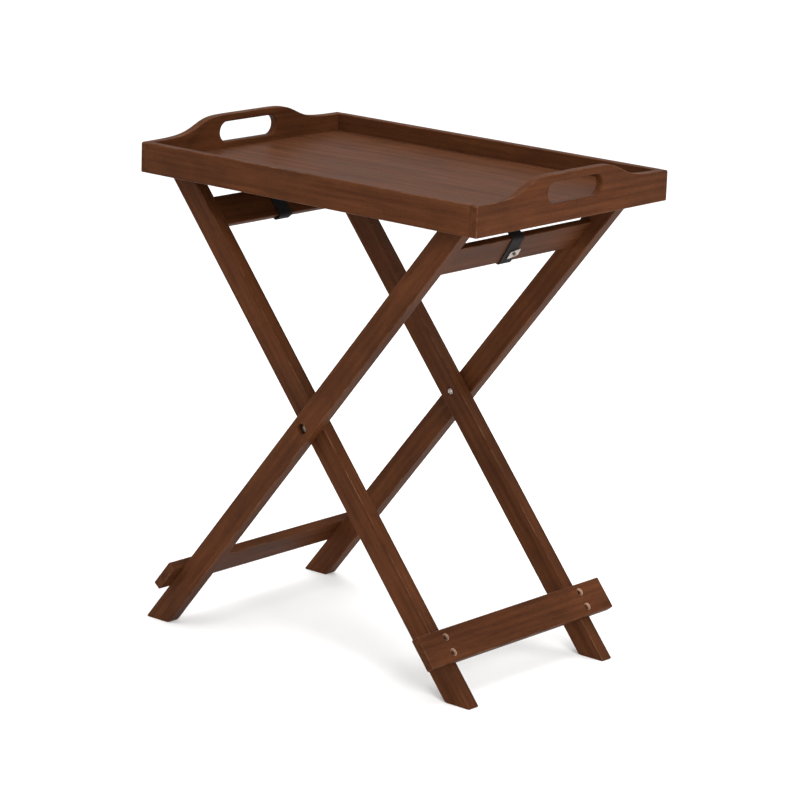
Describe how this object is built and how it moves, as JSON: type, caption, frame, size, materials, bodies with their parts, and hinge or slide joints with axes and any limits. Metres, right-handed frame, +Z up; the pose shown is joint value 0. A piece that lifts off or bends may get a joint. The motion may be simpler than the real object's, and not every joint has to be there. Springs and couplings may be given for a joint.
{
  "type": "folding tray table",
  "caption": "Wooden tray with raised handle ends on a folding X stand, held open by a webbing strap.",
  "frame": {"origin": "on the floor, under the middle of the tray", "axes": "+X along the tray's long side, +Y towards the back, +Z up"},
  "size_m": [0.6002, 0.408, 0.7148],
  "materials": {
    "frame_wood": "dark red-brown stained hardwood, satin lacquer",
    "panel_wood": "dark red-brown stained veneer, satin lacquer",
    "dowel_wood": "bare beech",
    "steel": "nickel-plated steel, satin",
    "webbing": "black woven webbing"
  },
  "bodies": {
    "outer_frame": {"outer_leg_front": "frame_wood", "outer_leg_back": "frame_wood", "outer_top_rail": "frame_wood", "outer_lower_bar": "frame_wood", "outer_rail_dowel_front_1": "dowel_wood", "outer_bar_screw_front_1": "steel", "outer_rail_dowel_front_2": "dowel_wood", "outer_bar_screw_front_2": "steel", "outer_rail_dowel_back_1": "dowel_wood", "outer_bar_screw_back_1": "steel", "outer_rail_dowel_back_2": "dowel_wood", "outer_bar_screw_back_2": "steel", "strap_loop_outer": "webbing", "strap_plate_outer": "steel", "strap_screw_outer": "steel", "pivot_bolt_front": "steel", "pivot_nut_front": "steel", "pivot_washer_front": "steel", "pivot_bolt_back": "steel", "pivot_nut_back": "steel", "pivot_washer_back": "steel", "strap_span": "webbing"},
    "inner_frame": {"inner_leg_front": "frame_wood", "inner_leg_back": "frame_wood", "inner_top_rail": "frame_wood", "inner_lower_bar": "frame_wood", "inner_rail_dowel_front_1": "dowel_wood", "inner_bar_screw_front_1": "steel", "inner_rail_dowel_front_2": "dowel_wood", "inner_bar_screw_front_2": "steel", "inner_rail_dowel_back_1": "dowel_wood", "inner_bar_screw_back_1": "steel", "inner_rail_dowel_back_2": "dowel_wood", "inner_bar_screw_back_2": "steel", "strap_loop_inner": "webbing", "strap_plate_inner": "steel", "strap_screw_inner": "steel"},
    "tray": {"tray_front_board": "frame_wood", "tray_back_board": "frame_wood", "tray_left_handle_board": "frame_wood", "tray_right_handle_board": "frame_wood", "tray_bottom_panel": "panel_wood"}
  },
  "joints": [
    {"name": "stand_fold", "type": "hinge", "parent": "outer_frame", "child": "inner_frame", "pos_m": [-0.0122, 0, 0.3333], "axis": [0, 1, 0], "range_deg": [0, 72], "deforming": ["strap_span"]},
    {"name": "tray_lift", "type": "slide", "parent": "outer_frame", "child": "tray", "axis": [0, 0, 1], "range_m": [0, 0.4]}
  ],
  "couplings": [
    {"joint": "tray_lift", "follows": "stand_fold", "m_per_rad": 0.3}
  ]
}
